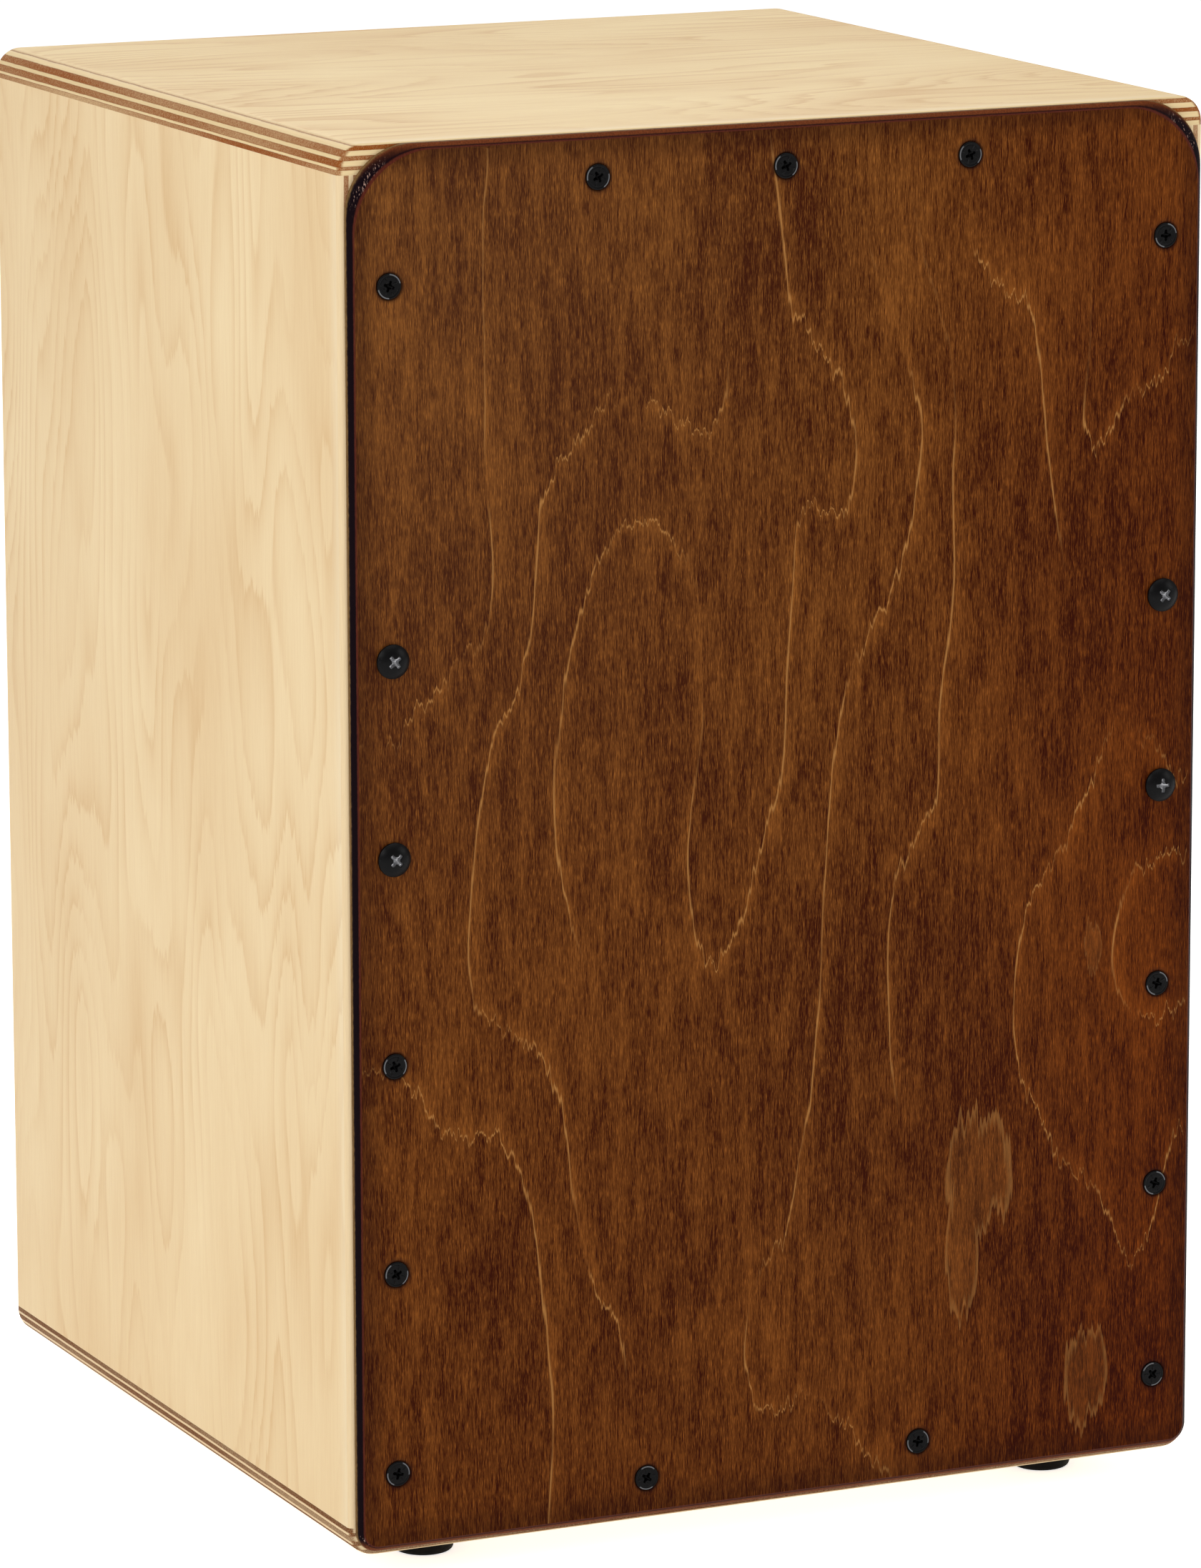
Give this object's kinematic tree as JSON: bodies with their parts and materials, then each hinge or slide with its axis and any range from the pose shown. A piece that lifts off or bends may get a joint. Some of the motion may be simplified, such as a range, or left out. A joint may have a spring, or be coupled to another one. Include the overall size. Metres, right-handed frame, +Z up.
{
  "type": "cajon",
  "caption": "Birch plywood box drum with a screwed, brown-stained front plate, a round sound hole at the back, fixed snare wires inside and rubber feet.",
  "frame": {"origin": "under the middle of the object, on the surface that its feet stand on", "axes": "+Z up, -Y out of the front plate, +X to the right as seen from the front"},
  "size_m": [0.3, 0.3028, 0.457],
  "materials": {
    "birch_ply": "clear satin lacquer over birch veneer, plies showing at the edges",
    "stained_ply": "satin, brown stained birch veneer with a near-black bevel",
    "cleat_wood": "bare planed softwood",
    "black_steel": "glossy black coated screw heads",
    "bright_steel": "bright zinc-plated steel",
    "black_rubber": "matte moulded black rubber"
  },
  "bodies": {
    "root": {"back_cleat_bottom": "cleat_wood", "back_cleat_left": "cleat_wood", "back_cleat_right": "cleat_wood", "back_cleat_top": "cleat_wood", "back_panel": "birch_ply", "bottom_panel": "birch_ply", "foot_back_left": "black_rubber", "foot_back_right": "black_rubber", "foot_front_left": "black_rubber", "foot_front_right": "black_rubber", "foot_screw_back_left": "bright_steel", "foot_screw_back_right": "bright_steel", "foot_screw_front_left": "bright_steel", "foot_screw_front_right": "bright_steel", "foot_washer_back_left": "bright_steel", "foot_washer_back_right": "bright_steel", "foot_washer_front_left": "bright_steel", "foot_washer_front_right": "bright_steel", "front_cleat_bottom": "cleat_wood", "front_cleat_left": "cleat_wood", "front_cleat_right": "cleat_wood", "front_cleat_top": "cleat_wood", "front_plate": "stained_ply", "left_side": "birch_ply", "pan_screw_left_2": "black_steel", "pan_screw_left_3": "black_steel", "pan_screw_right_2": "black_steel", "pan_screw_right_3": "black_steel", "plate_screw_bottom_1": "black_steel", "plate_screw_bottom_2": "black_steel", "plate_screw_left_1": "black_steel", "plate_screw_left_4": "black_steel", "plate_screw_left_5": "black_steel", "plate_screw_left_6": "black_steel", "plate_screw_right_1": "black_steel", "plate_screw_right_4": "black_steel", "plate_screw_right_5": "black_steel", "plate_screw_right_6": "black_steel", "plate_screw_top_1": "black_steel", "plate_screw_top_2": "black_steel", "plate_screw_top_3": "black_steel", "rail_block_left": "cleat_wood", "rail_block_right": "cleat_wood", "rail_screw_left": "bright_steel", "rail_screw_right": "bright_steel", "right_side": "birch_ply", "snare_rail": "cleat_wood", "snare_screw_left_1": "bright_steel", "snare_screw_left_2": "bright_steel", "snare_screw_right_1": "bright_steel", "snare_screw_right_2": "bright_steel", "snare_wires_left": "bright_steel", "snare_wires_right": "bright_steel", "top_panel": "birch_ply"}
  },
  "joints": []
}
